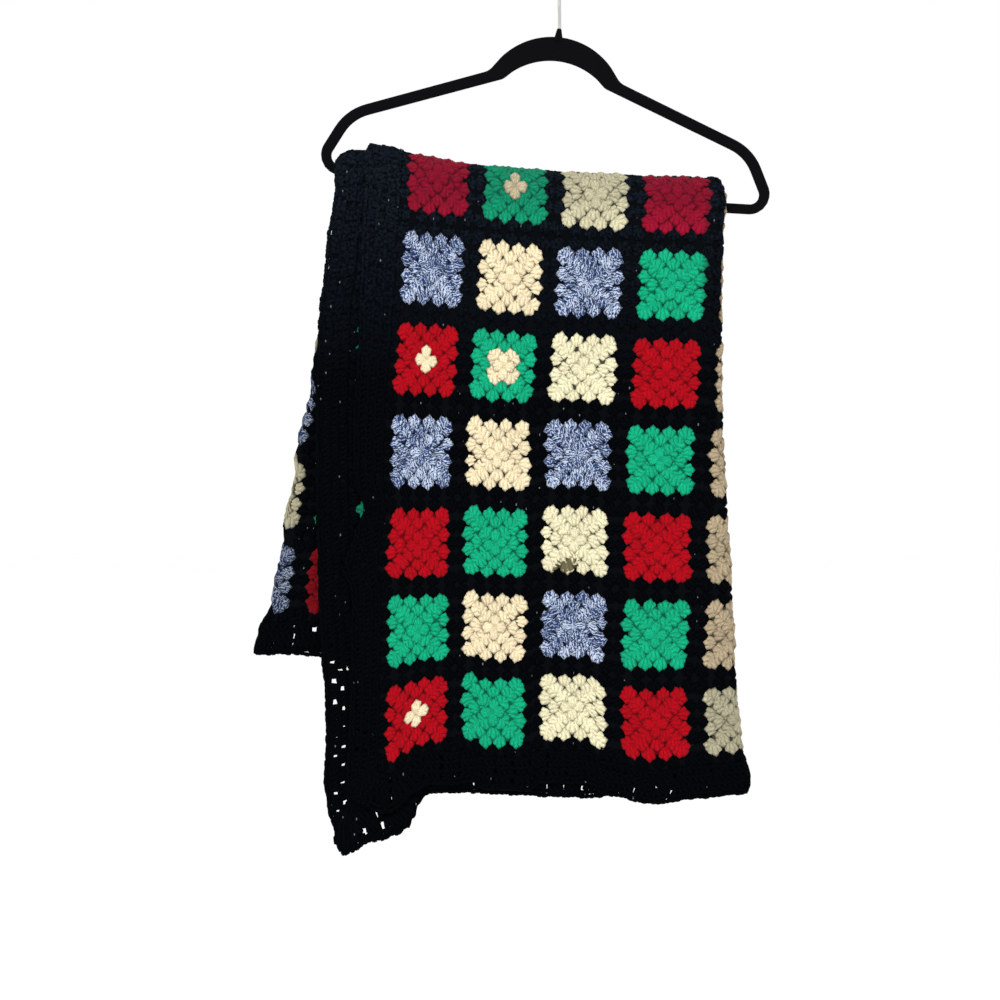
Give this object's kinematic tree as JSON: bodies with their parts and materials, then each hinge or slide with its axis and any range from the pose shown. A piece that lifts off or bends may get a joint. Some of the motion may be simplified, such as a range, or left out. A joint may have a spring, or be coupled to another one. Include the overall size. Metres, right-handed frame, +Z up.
{
  "type": "granny square blanket on a coat hanger",
  "caption": "Granny square crochet blanket folded lengthwise into four layers and draped over the bar of a flocked coat hanger, with a dark border and coloured squares.",
  "frame": {"origin": "the seat of the hook: the point on the inside of the hook's bend, at its top, where it lies on the rail that holds it", "axes": "+Z up; +X along the hanger, to the right as seen from the front; -Y towards the front, where the folded blanket's longer fall hangs"},
  "size_m": [0.5118, 0.0605, 0.8725],
  "materials": {
    "crocheted_wool": "matt crocheted yarn: near-black ground and border with red, green, blue, cream and beige squares",
    "flocked_plastic": "black velvet flock over moulded plastic",
    "hook_wire": "bright plated steel wire"
  },
  "bodies": {
    "root": {"blanket": "crocheted_wool", "hanger_body": "flocked_plastic", "hanger_hook": "hook_wire"}
  },
  "joints": []
}
